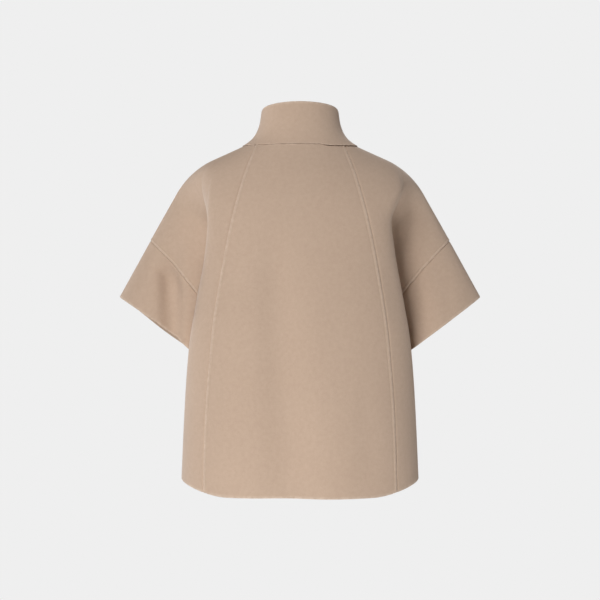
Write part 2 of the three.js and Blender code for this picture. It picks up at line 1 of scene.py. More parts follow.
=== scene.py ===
# %% [markdown]
# # A short cape of double-faced wool
# The cape is sewn from eight pieces of one thick cloth: a middle back, two side backs, two fronts, two
# wide half sleeves and a funnel collar. It is seen from behind, filled out as it is when it is worn.
# Each piece is built here as a thin closed shell on the same curves as the frame's solid, with what a
# solid leaves out: lapped seams with a welt and a row of stitches, soft creases, rolled edges and nap.

# %% Load the frame
import math
from types import SimpleNamespace

import bpy
import numpy as np
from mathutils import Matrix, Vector


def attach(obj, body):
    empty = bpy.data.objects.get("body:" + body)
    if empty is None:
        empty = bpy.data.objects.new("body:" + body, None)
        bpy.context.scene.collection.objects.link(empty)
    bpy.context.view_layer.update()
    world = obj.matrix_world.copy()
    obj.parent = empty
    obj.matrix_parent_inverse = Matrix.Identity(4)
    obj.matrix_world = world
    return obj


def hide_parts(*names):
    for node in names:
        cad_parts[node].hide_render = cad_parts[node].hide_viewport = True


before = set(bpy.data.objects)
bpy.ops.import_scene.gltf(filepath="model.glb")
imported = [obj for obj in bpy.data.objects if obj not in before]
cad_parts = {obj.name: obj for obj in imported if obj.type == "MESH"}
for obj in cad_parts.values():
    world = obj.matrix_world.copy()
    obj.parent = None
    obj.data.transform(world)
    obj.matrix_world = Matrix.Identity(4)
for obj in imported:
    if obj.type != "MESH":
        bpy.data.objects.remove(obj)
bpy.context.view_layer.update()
MM = 0.001
print("cloth pieces in the frame:", ", ".join(sorted(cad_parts)))

# %% [markdown]
# ## The cut, as numbers
# A pattern cutter works from a few measures and draws smooth curves through them. The tables below are
# those measures, in millimetres. A spline object could carry the curves, but a small function through a
# table keeps every measure in sight and never bulges between two of them.

# %% Measures of neck, shoulder and arm
CLOTH = 2.2
NECK_HALF_WIDTH = 104.5
NECK_Z = {"back": -2.5, "front": -42.0}
NECK_CURVE = {"back": 3.0, "front": 2.3}
SHOULDER_LENGTH, SHOULDER_SLOPE = 111.5, math.radians(24.5)
ARM_LENGTH, ARM_SLOPE = 265.0, math.radians(60.7)
SHOULDER_ROUND = 155.0
SLEEVE_LENGTH = 120.0
UNDERARM_Z = -292.0
UNDERARM_MIDDLE_Z = -300.0
UNDERARM_HALF = 20.0
CUFF_BOTTOM = (198.5, -377.0)
CUFF_BOW = {-1: 5.0, 1: 1.0}
CUFF_DROP = {-1: 14.0, 1: 4.0}
SLEEVE_SHAPE = {  # half, side: depths at armhole and cuff, flatness next to the body at armhole and cuff
    ("back", -1): (20.0, 30.0, 0.9, 0.8),
    ("back", 1): (20.0, 30.0, 1.5, 0.55),
    ("front", -1): (54.0, 52.0, 1.5, 0.85),
    ("front", 1): (54.0, 52.0, 1.5, 0.85),
}
ARMHOLE_BOW = 4.0
SLEEVE_FORWARD = {"armhole": 7.0, "cuff": 14.0}
FRONT_LAP, LAP_EASE, LAP_RUN = 32.0, 1.0, 55.0
OUTWARDS = {"back": -1, "front": 1}
print("neck", 2 * NECK_HALF_WIDTH, "mm wide")

# %% Measures of the body
HEM_SIDE_Z = -606.0
HEM_MIDDLE_Z = {"back": -626.0, "front": -622.0}
HEM_RISE_FROM, HEM_RISE_POWER = 0.6, 1.6
ROW_SPREAD = {"middle": 1.15, "side": 1.25}
SIDE_LINE = {  # left and right side: height, half-width at the body's widest
    -1: [(0, 96), (-59, 150), (-82, 159), (-105, 163), (-123, 164), (-140, 165), (-190, 168.5)],
    1: [(0, 96), (-59, 155), (-82, 177), (-105, 184), (-123, 171), (-140, 164), (-190, 168.5)],
}
SIDE_LINE_BELOW = [(-280, 185), (-369, 200), (-490, 210.5), (-614, 216)]
MIDDLE_LINE = {  # drop below the neck edge, depth at the middle
    "back": [(0, 75), (60, 107), (110, 124), (190, 137), (300, 144), (430, 149), (624, 155)],
    "front": [(0, 82), (60, 108), (110, 122), (190, 132), (300, 137), (430, 141), (624, 146)],
}
SQUARENESS = [(0, 2.0), (0.5, 2.35), (1, 2.25), (2, 2.45)]  # row, power of the section
BACK_SEAM = [(0, 79), (-62, 100), (-193, 131), (-354, 156), (-524, 168), (-620, 170)]  # height, x
FOLD_ROWS = (0.28, 0.68)
FOLD_GONE_ROW = 1.75
FOLD_TOP_DEPTH, FOLD_DEPTH_CURVE = 60.0, 1.3
BULGE_ROWS = (0.35, 1.0)
TUCK_IN, TUCK_DEPTH, TUCK_TURN = 14.0, 39.0, math.radians(65)
TURN_DEPTH, TURN_SHARE = 6.0, 0.65
print("back seams", 2 * BACK_SEAM[-1][1], "mm apart at the hem")

# %% Curves through the measures


def mix(start, end, share):
    return start + (end - start) * share


def ease(value, start, end):
    t = np.clip((value - start) / (end - start), 0, 1)
    return t * t * (3 - 2 * t)


def through(table):
    x, y = np.array(sorted(table), float).T
    step = np.diff(y) / np.diff(x)
    before, after = np.r_[step[0], step], np.r_[step, step[-1]]
    both = before * after
    slope = np.where(both > 0, 2 * both / np.where(both > 0, before + after, 1), 0)

    def curve(at):
        at = np.clip(at, x[0], x[-1])
        i = np.clip(np.searchsorted(x, at) - 1, 0, len(step) - 1)
        width = x[i + 1] - x[i]
        t = (at - x[i]) / width
        start = (1 + 2 * t) * (1 - t) ** 2 * y[i] + t * (1 - t) ** 2 * width * slope[i]
        end = t * t * (3 - 2 * t) * y[i + 1] + t * t * (t - 1) * width * slope[i + 1]
        return start + end

    return curve


side_half_width = {side: through(line + SIDE_LINE_BELOW) for side, line in SIDE_LINE.items()}
middle_depth = {half: through(table) for half, table in MIDDLE_LINE.items()}
squareness = through(SQUARENESS)
back_seam_x = through(BACK_SEAM)
print("hem half-width", round(float(side_half_width[1](HEM_SIDE_Z)), 1), "mm")

# %% [markdown]
# ## The form of the worn cape
# The cape hangs from the shoulders: near the neck a level row of the cloth is one dome from arm to arm,
# and lower down a fold parts the body from the sleeve. Sculpting would give such a form, but here each
# row is a formula that mixes the two, so that every seam and edge can be found on it exactly. A row runs
# from 0 at the neck over 1 at the underarm to 2 at the hem.

# %% Soft folds that the solids have too
BODY_FOLDS = [  # half, x, half-width, rise, starts at z, full at z
    ("back", -46, 44, -6, -110, -420),
    ("back", 70, 66, 5, -240, -560),
    ("front", 92, 40, -6, -170, -480),
    ("front", -98, 44, -7, -150, -450),
]
SLEEVE_FOLDS = [  # half, side, place across at the armhole, at the cuff, half-width, rise
    ("back", -1, 0.66, 0.34, 0.22, -16),
    ("back", 1, 0.35, 0.25, 0.16, -3),
    ("front", -1, 0.6, 0.4, 0.2, -4),
    ("front", 1, 0.65, 0.4, 0.2, -5),
]
FOLD_FADE = 6


def body_fold(half, x, z, across):
    rise = np.zeros_like(x)
    for fold_half, middle, width, height, top, full in BODY_FOLDS:
        if fold_half == half:
            rise += height * ease(-z, -top, -full) * np.exp(-(((x - middle) / width) ** 2))
    return rise * (1 - np.minimum(np.abs(across), 1) ** FOLD_FADE)


print(len(BODY_FOLDS), "folds on the body,", len(SLEEVE_FOLDS), "on the sleeves")

# %% Rows of the body


def dome(t, power):
    return np.maximum(0, 1 - np.abs(t) ** power) ** (1 / power)


def overarm(distance):
    tangent = SHOULDER_ROUND * math.tan((ARM_SLOPE - SHOULDER_SLOPE) / 2)
    straight = SHOULDER_LENGTH - tangent
    arc = SHOULDER_ROUND * (ARM_SLOPE - SHOULDER_SLOPE)
    turned = SHOULDER_SLOPE + np.clip(distance - straight, 0, arc) / SHOULDER_ROUND
    on_shoulder, on_arm = min(distance, straight), max(distance - straight - arc, 0)
    across = SHOULDER_ROUND * (math.sin(turned) - math.sin(SHOULDER_SLOPE))
    down = SHOULDER_ROUND * (math.cos(SHOULDER_SLOPE) - math.cos(turned))
    x = on_shoulder * math.cos(SHOULDER_SLOPE) + across + on_arm * math.cos(ARM_SLOPE)
    z = on_shoulder * math.sin(SHOULDER_SLOPE) + down + on_arm * math.sin(ARM_SLOPE)
    return NECK_HALF_WIDTH + x, -z


def overarm_length():
    turn = ARM_SLOPE - SHOULDER_SLOPE
    return SHOULDER_LENGTH + ARM_LENGTH - SHOULDER_ROUND * (2 * math.tan(turn / 2) - turn)


ARMHOLE_DISTANCE = overarm_length() - SLEEVE_LENGTH


def body_row(half, side, row):
    upper, lower = min(row, 1.0), max(row - 1.0, 0.0)
    upper_z = mix(NECK_Z[half], UNDERARM_MIDDLE_Z, upper ** ROW_SPREAD["middle"])
    side_z = UNDERARM_Z * upper ** ROW_SPREAD["side"] + lower * (HEM_SIDE_Z - UNDERARM_Z)
    middle_z = upper_z + lower * (HEM_MIDDLE_Z[half] - UNDERARM_MIDDLE_Z)
    parted = ease(row, *FOLD_ROWS)
    tucked = parted * (1 - ease(row, 1, FOLD_GONE_ROW))
    fold_depth = UNDERARM_HALF + FOLD_TOP_DEPTH * (1 - upper) ** FOLD_DEPTH_CURVE
    wide = float(side_half_width[side](side_z))
    outer = overarm(ARMHOLE_DISTANCE * upper)
    depth, power = float(middle_depth[half](NECK_Z[half] - middle_z)), float(squareness(row))
    unparted_depth = depth * float(dome(min(wide / outer[0], 1.0), power))
    parted_depth = fold_depth + TURN_DEPTH + TUCK_DEPTH * tucked
    return SimpleNamespace(
        half=half, lower=lower, middle_z=middle_z, side_z=side_z, wide=wide,
        tuck=TUCK_IN * tucked, fold=(wide - TUCK_IN * tucked, side_z), fold_depth=fold_depth,
        wide_depth=mix(unparted_depth, parted_depth, parted), outer=outer, parted=parted,
        depth=depth, power=power,
        grown=ease(row, *BULGE_ROWS),
        unparted_fold=mix(wide, outer[0], TURN_SHARE),
    )


print("overarm", round(overarm_length()), "mm from neck to cuff")

# %% Points of the body


def on_dome(r, x):
    across = x / r.outer[0]
    z = r.middle_z + (r.outer[1] - r.middle_z) * np.abs(across) ** NECK_CURVE[r.half]
    return np.stack([x, r.depth * dome(across, r.power), z], -1)


def on_parted_body(r, across):
    hem_rise = np.clip((np.abs(across) - HEM_RISE_FROM) / (1 - HEM_RISE_FROM), 0, 1) ** HEM_RISE_POWER
    rise = mix(across**2, hem_rise, r.lower)
    depth = r.wide_depth + (r.depth - r.wide_depth) * dome(across, r.power)
    body = np.stack([r.wide * across, depth, mix(r.middle_z, r.side_z, rise)], -1)
    turn = np.maximum(across - 1, 0) * TUCK_TURN
    inwards = r.tuck * (1 - np.cos(turn)) / (1 - math.cos(TUCK_TURN))
    turned_depth = mix(r.wide_depth, r.fold_depth, np.sin(turn) / math.sin(TUCK_TURN))
    edge = np.stack([r.wide - inwards, turned_depth, np.full_like(turn, r.side_z)], -1)
    return np.where((across <= 1)[:, None], body, edge)


def placed(half, side, points):
    return points * np.array([side, OUTWARDS[half], 1.0])


def body_points(half, side, row, across):
    r = body_row(half, side, row)
    beyond = mix(r.wide, r.unparted_fold, across - 1)
    x = np.where(across <= 1, r.wide * across, beyond)
    points = mix(on_dome(r, x), on_parted_body(r, across), r.parted)
    points[:, 1] += body_fold(half, side * points[:, 0], points[:, 2], across)
    return placed(half, side, points)


SEAM_GUESS, SEAM_STEPS = 0.8, 12


def seam_across(side, row):
    """Share across of the back seam, found by a few corrections of a guess."""
    across = SEAM_GUESS
    for _ in range(SEAM_STEPS):
        x, _, z = body_points("back", side, row, np.array([across]))[0]
        across *= float(back_seam_x(z)) / abs(x)
    return across


print("back seams at the underarm row:", [round(seam_across(side, 1.0), 2) for side in (-1, 1)], "across")

# %% Points of shoulder and sleeve
TROUGH_FULL = 0.3  # share of the sleeve's length over which its folds grow
ROOF_POWER = 1.3
OVERARM_POWER = 0.5  # the sleeve's section ends at the overarm as an ellipse does


def sleeve_depth(half, side, along, across, fold_depth, grown=1.0):
    armhole_depth, cuff_depth, armhole_flatness, cuff_flatness = SLEEVE_SHAPE[half, side]
    depth = mix(armhole_depth, cuff_depth, along)
    flatness = mix(armhole_flatness, cuff_flatness, along)
    best = flatness / (flatness + OVERARM_POWER)
    fullest = best**flatness * (1 - best) ** OVERARM_POWER
    round_depth = across**flatness * (1 - across) ** OVERARM_POWER / fullest
    rise, shown = np.zeros_like(across), ease(along, 0, TROUGH_FULL)
    for fold_half, fold_side, armhole, cuff, width, height in SLEEVE_FOLDS:
        if (fold_half, fold_side) == (half, side):
            rise += height * np.exp(-(((across - mix(armhole, cuff, along)) / width) ** 2))
    return fold_depth * dome(across, ROOF_POWER) + (depth + rise * shown) * round_depth * grown


def between_lines(inner, outer, across, bow):
    run = np.subtract(outer, inner)
    lift = 4 * across * (1 - across) * bow / math.hypot(*run)
    x = mix(inner[0], outer[0], across) - lift * run[1]
    z = mix(inner[1], outer[1], across) + lift * run[0]
    return x, z


def shoulder_points(half, side, row, across):
    r = body_row(half, side, row)
    x, z = between_lines(r.fold, r.outer, across, ARMHOLE_BOW * r.parted)
    depth = sleeve_depth(half, side, 0, across, r.fold_depth, r.grown)
    single = on_dome(r, mix(r.unparted_fold, r.outer[0], across))
    points = placed(half, side, mix(single, np.stack([x, depth, z], -1), r.parted))
    points[:, 1] += SLEEVE_FORWARD["armhole"] * r.parted * across
    return points


def sleeve_points(half, side, along, across):
    armhole = body_row(half, side, 1.0)
    inner = mix(np.array(armhole.fold), np.array(CUFF_BOTTOM), along)
    outer = mix(np.array(armhole.outer), np.array(overarm(overarm_length())), along)
    x, z = between_lines(inner, outer, across, mix(ARMHOLE_BOW, CUFF_BOW[side], along))
    depth = sleeve_depth(half, side, along, across, UNDERARM_HALF)
    if half == "front":
        z = z - CUFF_DROP[side] * along * 4 * across * (1 - across)
    points = placed(half, side, np.stack([x, depth, z], -1))
    points[:, 1] += mix(SLEEVE_FORWARD["armhole"], SLEEVE_FORWARD["cuff"], along) * across
    return points


print("armhole seam", round(ARMHOLE_DISTANCE), "mm from the neck, along the overarm")

# %% [markdown]
# ## Lapped seams
# Thick double-faced wool isn't sewn right sides together. Its two layers are split along the edge and
# thinned, one panel is lapped over the next, and a row of stitches a few millimetres in makes a raised
# welt. A bump map would do from afar, but the welt catches the light, so it is modelled: two short tables
# say how high the outer and the inner face lie at each distance from the seam.

# %% Faces of the cloth near a seam, in millimetres from the plain outer face
WELT_OUTER = through(
    [(0, 0.12), (0.9, 0.32), (2.2, 0.5), (3.6, 0.48), (5, 0.25), (6.2, -0.15), (7.4, -0.06), (10, 0)]
)
WELT_INNER = through([(0, -0.85), (5, -0.85), (10, -CLOTH)])
UNDER_OUTER = through([(-4.5, -1.2), (-0.4, -1.2), (0.9, -1.0), (2.0, -0.45), (3.6, 0)])
UNDER_INNER = through([(-4.5, -2.3), (5, -CLOTH)])
# How much lighter the cloth is drawn near a seam: nap worn off, and partly a painted highlight where the
# welt's edge catches the light
WELT_WEAR_AND_HIGHLIGHT = through([(-4.5, 0.6), (0, 0.6), (3.6, 0.4), (6.2, 0), (10, 0)])  # how much the nap is worn off
STITCH_LINE = 6.2
OVER_STEPS = np.array([0.9, 1.5, 2.2, 2.9, 3.6, 4.3, 5.0, 5.6, STITCH_LINE, 6.8, 7.6, 8.6, 10.0])
UNDER_STEPS = np.array([-4.5, -3.0, -1.5, -0.8, -0.2, 0.4, 0.9, 1.4, 2.0, 2.6, 3.6, 5.0, 7.0, 10.0])
SEAM_REACH = 10.0
STITCH_COLUMN = int(np.searchsorted(OVER_STEPS, STITCH_LINE))
PUCKERS = [(17.0, 0.5, 0.4), (29.0, 0.3, 1.9), (11.0, 0.25, 4.1)]  # wavelength, share, phase


def pucker(along):
    return sum(share * np.sin(2 * math.pi * along / wave + phase) for wave, share, phase in PUCKERS)


def spaced(line, places, zero=0.0):
    """Points of a polyline at distances along it; zero is the distance that counts as 0."""
    along = np.r_[0, np.cumsum(np.linalg.norm(np.diff(line, axis=0), axis=1))] - zero
    return np.stack([np.interp(places, along, line[:, k]) for k in range(3)], -1)


def length_of(line):
    return float(np.linalg.norm(np.diff(line, axis=0), axis=1).sum())


print("welt", float(WELT_OUTER(OVER_STEPS).max()), "mm high, stitched", STITCH_LINE, "mm from its edge")

# %% [markdown]
# ## Creases
# Even a steamed coat keeps soft creases: long shallow troughs below the shoulder blades, drag lines
# towards the armholes, and a wave or two at the hem. Cloth simulation would put them anywhere, so they are
# listed one by one as soft troughs and ridges, uneven in length and depth. They fade out at both ends, unless
# they run off the hem.

# %% Table of creases
CREASES = [  # half, or its arm alone, start x, start z, end x, end z, half-width, rise
    ("back", -52, -130, -2, -720, 36, -9.0),
    ("back", -70, -430, -84, -640, 26, 1.3),
    ("back", 22, -240, 34, -560, 34, 1.2),
    ("back", 112, -420, 118, -640, 22, -1.5),
    ("back", -128, -380, -136, -640, 24, 1.2),
    ("back", 150, -215, 176, -330, 12, -1.2),
    ("back", -150, -205, -178, -330, 12, -1.0),
    ("back", 136, -110, 196, -190, 16, -1.3),
    ("back", -138, -115, -200, -195, 16, -1.1),
    ("back", 262, -215, 276, -330, 15, -1.6),
    ("back arm", -238, -165, -224, -430, 17, -8.0),
    ("back arm", -266, -190, -252, -430, 16, 4.5),
    ("back", 232, -190, 236, -345, 14, 1.2),
    ("front", 60, -300, 66, -640, 26, -1.8),
    ("front", 140, -380, 150, -640, 22, 1.4),
    ("front", -52, -260, -60, -640, 24, -1.6),
    ("front", -150, -350, -158, -640, 22, 1.3),
    ("front", 140, -120, 198, -205, 16, -1.4),
    ("front", -142, -115, -202, -200, 16, -1.3),
    ("front", 268, -230, 262, -345, 16, -1.8),
    ("front", -250, -220, -262, -345, 16, -1.6),
]
CREASE_END = 0.22


def creases(half, points):
    total = np.zeros(points.shape[:-1])
    x, z = points[..., 0], points[..., 2]
    for crease_half, x0, z0, x1, z1, width, rise in CREASES:
        if crease_half != half:
            continue
        run = math.hypot(x1 - x0, z1 - z0)
        along = ((x - x0) * (x1 - x0) + (z - z0) * (z1 - z0)) / run**2
        aside = ((x - x0) * (z1 - z0) - (z - z0) * (x1 - x0)) / run
        shown = ease(along, 0, CREASE_END) * (1 - ease(along, 1 - CREASE_END, 1))
        total += rise * shown * np.exp(-((aside / width) ** 2))
    return total


print(len(CREASES), "creases")

# %% [markdown]
# ## From patches to a shell
# A cut panel is one or more grids of points, the patches, that share an edge. The functions below join the
# patches, find the normals, lift the outer and the inner face to their levels, and close the edge with a
# small half round, as the folded edge of wool has. Solidify would give one thickness everywhere, and here
# the cloth thins towards its seams.

# %% Patches joined to one sheet
SAME_POINT_MM = 1e-3


def patch(points, outer, inner, wear=0.0):
    outer, inner, wear = (np.broadcast_to(value, points.shape[:2]) for value in (outer, inner, wear))
    return SimpleNamespace(points=points, values=np.stack([outer, inner, wear], -1))


def joined(patches, facing):
    """The patches as one sheet: points, values and quads whose normals point away from facing."""
    points = np.concatenate([p.points.reshape(-1, 3) for p in patches])
    values = np.concatenate([p.values.reshape(-1, 3) for p in patches])
    spots = np.round(points / SAME_POINT_MM)
    _, first, same = np.unique(spots, axis=0, return_index=True, return_inverse=True)
    quads, start = [], 0
    for p in patches:
        rows, columns = p.points.shape[:2]
        index = same.reshape(-1)[start : start + rows * columns].reshape(rows, columns)
        corners = [index[:-1, :-1], index[:-1, 1:], index[1:, 1:], index[1:, :-1]]
        quads.append(np.stack(corners, -1).reshape(-1, 4))
        start += rows * columns
    points, values, quads = points[first], values[first], np.concatenate(quads)
    normals = face_normals(points, quads)
    away = (normals * (points[quads].mean(1) - facing)).sum()
    return points, values, quads if away > 0 else quads[:, ::-1]


def face_normals(points, quads):
    a, b, c, d = (points[quads[:, k]] for k in range(4))
    return np.cross(c - a, d - b)


def point_normals(points, quads):
    normals = np.zeros_like(points)
    for k in range(4):
        np.add.at(normals, quads[:, k], face_normals(points, quads))
    return normals / np.linalg.norm(normals, axis=1, keepdims=True)


# %% A closed shell of cloth
RIM_TURNS = np.radians([45, 90, 135])
# Rims are drawn fully in the lighter colour: worn nap, and partly a painted highlight where a rolled edge
# catches the light
RIM_WEAR_AND_HIGHLIGHT = 1.0
BODY_MIDDLE = (0, 0, -300)


def rim_edges(quads):
    edges = np.concatenate([quads[:, [k, (k + 1) % 4]] for k in range(4)])
    known = {(a, b) for a, b in edges.tolist()}
    return np.array([(a, b) for a, b in edges.tolist() if (b, a) not in known])


def shell(patches, facing):
    """Points, quads and the wear and painted highlight of a closed shell: outer face, inner face and the
    half-round rim between.
    """
    points, values, quads = joined(patches, np.array(facing, float))
    normals = point_normals(points, quads)
    outer, inner = (points + normals * values[:, k : k + 1] for k in (0, 1))
    wear = np.r_[values[:, 2], np.zeros(len(points))]
    rim = rim_edges(quads)
    outwards = np.zeros_like(points)
    for k in range(2):
        across = np.cross(points[rim[:, 1]] - points[rim[:, 0]], normals[rim[:, k]])
        np.add.at(outwards, rim[:, k], across / np.linalg.norm(across, axis=1, keepdims=True))
    edge = np.unique(rim)
    outwards[edge] /= np.linalg.norm(outwards[edge], axis=1, keepdims=True)
    middle, half = (outer[edge] + inner[edge]) / 2, (outer[edge] - inner[edge]) / 2
    reach = np.linalg.norm(half, axis=1, keepdims=True) * outwards[edge]
    rings = [middle + half * math.cos(turn) + reach * math.sin(turn) for turn in RIM_TURNS]
    wear[edge] = RIM_WEAR_AND_HIGHLIGHT
    wear = np.r_[wear, np.full(len(rings) * len(edge), RIM_WEAR_AND_HIGHLIGHT)]
    count = len(points)
    place = np.full(count, -1)
    place[edge] = np.arange(len(edge))
    rings_of_rim = [2 * count + k * len(edge) + place[rim] for k in range(len(rings))]
    levels_of_rim = [rim, *rings_of_rim, rim + count]
    faces = [quads, quads[:, ::-1] + count]
    for above, below in zip(levels_of_rim, levels_of_rim[1:]):
        faces.append(np.stack([above[:, 1], above[:, 0], below[:, 0], below[:, 1]], -1))
    return np.concatenate([outer, inner, *rings]), np.concatenate(faces), wear


def cloth_object(name, patches, facing=BODY_MIDDLE):
    points, faces, wear = shell(patches, facing)
    mesh = bpy.data.meshes.new(f"{name}_cloth")
    mesh.from_pydata((points * MM).tolist(), [], faces.tolist())
    mesh.polygons.foreach_set("use_smooth", np.ones(len(mesh.polygons), bool))
    # Stored per point: worn nap, and partly a painted highlight, on edges and welts
    mesh.attributes.new("edge_wear", "FLOAT", "POINT").data.foreach_set("value", wear)
    made = bpy.data.objects.new(mesh.name, mesh)
    bpy.context.scene.collection.objects.link(made)
    print(mesh.name, len(faces), "faces")
    return made


# %% [markdown]
# ## The rows of every panel
# All body panels share their rows, so that seams meet point to point. Rows lie close together above the
# armhole seam, where the welt is, and four to five millimetres apart elsewhere.

# %% Rows
ARMHOLE_RUN, HEM_RUN = 300.0, 320.0  # length of cloth from row 0 to 1, and from 1 to 2
TOP_ROW = 0.0085
ROWS_ABOVE, ROWS_BELOW = 62, 74
HEM_ROW = 2 - CLOTH / 2 / HEM_RUN
welt_rows = 1 - OVER_STEPS[::-1] / ARMHOLE_RUN
upper_rows = np.r_[np.linspace(TOP_ROW, welt_rows[0], ROWS_ABOVE)[:-1], welt_rows]
lower_rows = np.linspace(welt_rows[-1], HEM_ROW, ROWS_BELOW)[1:]
body_rows = np.r_[upper_rows, lower_rows]
print(len(body_rows), "rows from neck to hem")

# %% [markdown]
# ## Middle back
# The largest panel lies between the two long seams and laps over both side backs. Its welts pucker a
# little, most of all low on the right seam, as a long seam sewn in thick cloth does. Its columns could lie
# at fixed shares of the width, but they are measured along each row, so that the welts keep their width.

# %% Middle back
BACK_COLUMNS = 84
LINE_POINTS = 160
LOW_SEAM = (300, 480)  # drop below the neck over which the right seam puckers more
PUCKER_SHARE = (0.2, 0.7)


def back_panel_line(row):
    left = body_points("back", -1, row, np.linspace(seam_across(-1, row), 0, LINE_POINTS))
    right = body_points("back", 1, row, np.linspace(0, seam_across(1, row), LINE_POINTS))
    return np.concatenate([left, right[1:]])


def back_panel_places(width):
    between = np.linspace(SEAM_REACH, width - SEAM_REACH, BACK_COLUMNS)[1:-1]
    return np.r_[OVER_STEPS, between, width - OVER_STEPS[::-1]]


def puckered(levels, along, share):
    return levels * (1 + share * pucker(along))


lines = [back_panel_line(row) for row in body_rows]
widths = np.array([length_of(line) for line in lines])
places = np.array([back_panel_places(width) for width in widths])
back_points = np.stack([spaced(line, place) for line, place in zip(lines, places)])
from_seam = np.minimum(places, widths[:, None] - places)
down = -back_points[..., 2]
low_right = ease(down, *LOW_SEAM) * (back_points[..., 0] > 0)
back_folds = creases("back", back_points)
back_outer = puckered(WELT_OUTER(from_seam), down, mix(*PUCKER_SHARE, low_right)) + back_folds
back_inner = WELT_INNER(from_seam) + back_folds
back_patch = patch(back_points, back_outer, back_inner, WELT_WEAR_AND_HIGHLIGHT(from_seam))
pieces = {"back_panel": cloth_object("back_panel", [back_patch])}
stitch_rows = [(pieces["back_panel"], back_points[:, k]) for k in (STITCH_COLUMN, -1 - STITCH_COLUMN)]

# %% [markdown]
# ## Side backs
# Each side back starts under the middle back's welt, turns into the fold next to the sleeve, and runs on
# over the shoulder to its seam. Three patches make it: the body, the shoulder above the underarm, and the
# narrow strip to the side seam below it. One grid would be simpler, but it would crowd at the underarm.

# %% Lines of the body's side, the shoulder and the side seam
SIDE_COLUMNS, SHOULDER_COLUMNS, STRIP_COLUMNS = 40, 46, 4
TUCKED_POINTS = 20
quarter_turn = np.sin(np.linspace(0, math.pi / 2, LINE_POINTS))


def side_line(half, side, row, start, tucked):
    """From a share across, or a little before it, to the bottom of the fold."""
    before = np.linspace(start - tucked, start, TUCKED_POINTS)[:-1]
    after = np.r_[np.linspace(start, 1, LINE_POINTS), np.linspace(1, 2, LINE_POINTS)[1:]]
    line = body_points(half, side, row, np.r_[before, after])
    return line, length_of(line[: len(before) + 1])


def over_shoulder(half, side, row):
    other = "front" if half == "back" else "back"
    near = shoulder_points(half, side, row, quarter_turn)
    far = shoulder_points(other, side, row, quarter_turn[::-1])
    return np.concatenate([near, far[1:]]), length_of(near)


def across_side_seam(edge):
    return np.stack([edge, edge * np.array([1, -1, 1])])


def faded(levels, share, plain):
    return plain + (levels - plain) * share


# %% Shoulder and side-seam patches of a side back or a front
CORNER_FADE = 14.0
SEAM_END_FADE = (-1, 4)
STITCHED = slice(5, -8)  # columns of the armhole seam that are stitched, short of its corners


def shoulder_patch(half, side, edges):
    """edges: where the panel ends at the shoulder seam, in steps from it, and its two faces there."""
    rows, outer, inner, wear = [], [], [], []
    from_armhole = (1 - upper_rows) * ARMHOLE_RUN
    for row, gap in zip(upper_rows, from_armhole):
        line, length = over_shoulder(half, side, row)
        plain = np.linspace(0, length - SEAM_REACH, SHOULDER_COLUMNS)[:-1]
        place = np.r_[plain, length - edges.steps[::-1]]
        to_seam = length - place
        away = ease(place, 0, CORNER_FADE) * ease(to_seam, *SEAM_END_FADE)
        rows.append(spaced(line, place))
        outer.append(faded(WELT_OUTER(gap), away, 0) + edges.outer(to_seam))
        inner.append(faded(WELT_INNER(gap), away, -CLOTH) + edges.inner(to_seam) + CLOTH)
        wear.append(np.maximum(WELT_WEAR_AND_HIGHLIGHT(gap) * away, edges.wear(to_seam)))
    points = np.stack(rows)
    folds = creases(half, points) + creases(half + " arm", points)
    return patch(points, np.stack(outer) + folds, np.stack(inner) + folds, np.stack(wear))


def armhole_stitches(shoulder):
    """The row of stitches along the armhole, short of the corners, where the welt ends."""
    return shoulder.points[-1 - STITCH_COLUMN, STITCHED]


def strip_patch(last_column, edges):
    """Below the underarm, from the panel's last column to the side seam."""
    to_seam = np.r_[np.linspace(UNDERARM_HALF, SEAM_REACH, STRIP_COLUMNS)[:-1], edges.steps[::-1]]
    points = np.stack([spaced(across_side_seam(edge), abs(edge[1]) - to_seam) for edge in last_column])
    points[:, 0] = last_column
    return patch(points, edges.outer(to_seam), edges.inner(to_seam), edges.wear(to_seam))


OVER = SimpleNamespace(steps=OVER_STEPS, outer=WELT_OUTER, inner=WELT_INNER, wear=WELT_WEAR_AND_HIGHLIGHT)
UNDER = SimpleNamespace(steps=UNDER_STEPS, outer=UNDER_OUTER, inner=UNDER_INNER, wear=np.zeros_like)

# %% Side backs
UNDER_BACK = 0.06  # share across that a side back goes on under the middle back


def side_back(name, side):
    rows = []
    for row in body_rows:
        start = seam_across(side, row)
        line, tucked = side_line("back", side, row, start, UNDER_BACK)
        rest = np.linspace(SEAM_REACH, length_of(line) - tucked, SIDE_COLUMNS)[1:]
        rows.append(spaced(line, np.r_[UNDER_STEPS, rest], tucked))
    points = np.stack(rows)
    from_seam = np.r_[UNDER_STEPS, np.full(SIDE_COLUMNS - 1, SEAM_REACH)]
    folds = creases("back", points)
    body = patch(points, UNDER_OUTER(from_seam) + folds, UNDER_INNER(from_seam) + folds)
    shoulder = shoulder_patch("back", side, OVER)
    strip = strip_patch(points[len(upper_rows) - 1 :, -1], OVER)
    made = cloth_object(name, [body, shoulder, strip])
    seam_column = -1 - STITCH_COLUMN
    rows = [armhole_stitches(shoulder), shoulder.points[:, seam_column], strip.points[:, seam_column]]
    stitch_rows.extend((made, row) for row in rows)
    return made


for name, side in (("side_back_left", -1), ("side_back_right", 1)):
    pieces[name] = side_back(name, side)

# %% [markdown]
# ## Fronts
# The fronts aren't in view from behind. They are plain: each edge passes the middle, right over left, and
# the shoulder and side seams go under the side backs. A mirrored copy of one would be quicker, but the two
# edges lap, and the two sides of the cape aren't quite alike.

# %% Fronts
FRONT_COLUMNS = 70


def over_lap(points):
    """How far out the right end lies over the left one in the middle of the front."""
    return (CLOTH + LAP_EASE) * (1 - ease(points[..., 0], FRONT_LAP, FRONT_LAP + LAP_RUN))


